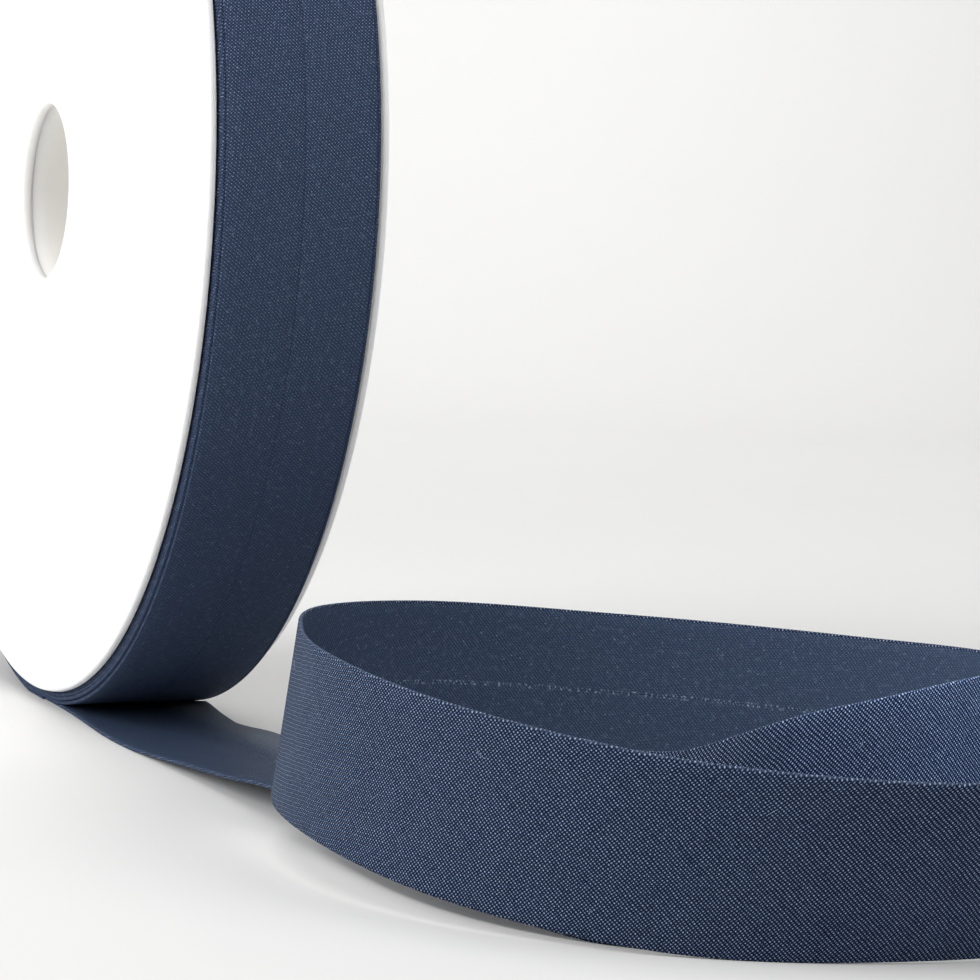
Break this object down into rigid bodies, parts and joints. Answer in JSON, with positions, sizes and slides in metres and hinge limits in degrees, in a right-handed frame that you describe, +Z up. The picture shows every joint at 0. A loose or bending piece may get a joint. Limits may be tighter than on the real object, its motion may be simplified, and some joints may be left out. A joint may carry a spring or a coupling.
{
  "type": "reel of bias tape",
  "caption": "Upright reel of navy folded bias tape between white disc ends, its loose end drawn out flat and laid in a standing loop.",
  "frame": {"origin": "on the resting surface under the middle of the roll, at the centre of its small flat spot", "axes": "+X along the reel's axis from the near disc to the far disc, +Z up, the loose tape runs out towards -Y"},
  "size_m": [0.0992, 0.2602, 0.1532],
  "materials": {
    "reel_plastic": "smooth satin white moulding",
    "hub_plastic": "smooth pale grey-white moulding",
    "wound_cloth": "navy plain weave cut on the bias, tightly wound",
    "loose_cloth": "navy plain weave cut on the bias, pressed single fold"
  },
  "bodies": {
    "root": {"near_flange": "reel_plastic", "far_flange": "reel_plastic", "hub_tube": "hub_plastic", "wound_tape": "wound_cloth", "loose_tape": "loose_cloth"}
  },
  "joints": []
}
